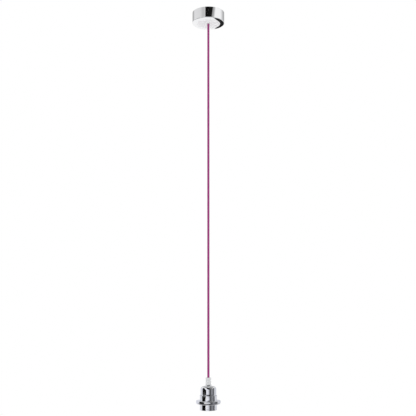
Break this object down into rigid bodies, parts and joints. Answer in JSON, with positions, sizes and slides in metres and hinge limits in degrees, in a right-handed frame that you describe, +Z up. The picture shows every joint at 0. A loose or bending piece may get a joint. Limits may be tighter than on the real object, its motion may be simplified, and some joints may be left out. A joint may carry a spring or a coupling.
{
  "type": "pendant cord set",
  "caption": "Ceiling pendant cord set: chromed cup canopy with bracket, textile cord, clear cord grip and metal screw-base lampholder with a threaded shade ring.",
  "frame": {"origin": "middle of the ceiling bracket's flat upper face, in the ceiling plane, on the cord's axis", "axes": "+Z straight up, against the ceiling; the cord hangs along -Z; the bracket lies along X, and the picture looks along +Y"},
  "size_m": [0.08, 0.08, 0.9768],
  "materials": {
    "chrome": "mirror-bright chrome plating on metal",
    "zinc_steel": "bright zinc-plated steel",
    "brass": "plain brass",
    "clear_plastic": "clear, slightly milky plastic",
    "white_plastic": "moulded white plastic",
    "textile": "braided magenta-purple textile over a round sheath",
    "porcelain": "white glazed porcelain",
    "brown_core": "brown core insulation",
    "blue_core": "blue core insulation",
    "green_yellow_core": "green core insulation with a yellow stripe"
  },
  "bodies": {
    "pendant": {"canopy_cup": "chrome", "lampholder_dome": "chrome", "lampholder_barrel": "chrome", "ceiling_bracket": "zinc_steel", "canopy_screw_left": "zinc_steel", "canopy_screw_right": "zinc_steel", "cord_stop_screw": "zinc_steel", "terminal_block_screw": "zinc_steel", "block_live_cord_screw": "zinc_steel", "block_live_supply_screw": "zinc_steel", "block_neutral_cord_screw": "zinc_steel", "block_neutral_supply_screw": "zinc_steel", "block_earth_cord_screw": "zinc_steel", "block_earth_supply_screw": "zinc_steel", "bracket_earth_washer": "zinc_steel", "threaded_shell_screw": "zinc_steel", "live_terminal_screw": "zinc_steel", "neutral_terminal_screw": "zinc_steel", "earth_terminal_screw": "zinc_steel", "earth_terminal_rivet": "zinc_steel", "block_live_insert": "brass", "block_neutral_insert": "brass", "block_earth_insert": "brass", "bracket_earth_screw": "brass", "threaded_shell": "brass", "centre_contact": "brass", "live_terminal": "brass", "neutral_terminal": "brass", "earth_terminal": "brass", "cord_bushing": "clear_plastic", "cord_grip": "clear_plastic", "cord_grip_screw": "clear_plastic", "cord_stop": "white_plastic", "terminal_block": "white_plastic", "textile_cord": "textile", "socket_insert": "porcelain", "canopy_live_core": "brown_core", "holder_live_core": "brown_core", "canopy_neutral_core": "blue_core", "holder_neutral_core": "blue_core", "canopy_earth_core": "green_yellow_core", "holder_earth_core": "green_yellow_core", "bracket_earth_link": "green_yellow_core"},
    "ring": {"shade_ring": "chrome"}
  },
  "joints": [
    {"name": "shade_ring_travel", "type": "slide", "parent": "pendant", "child": "ring", "axis": [0, 0, 1], "range_m": [-0.03, 0.004]}
  ]
}
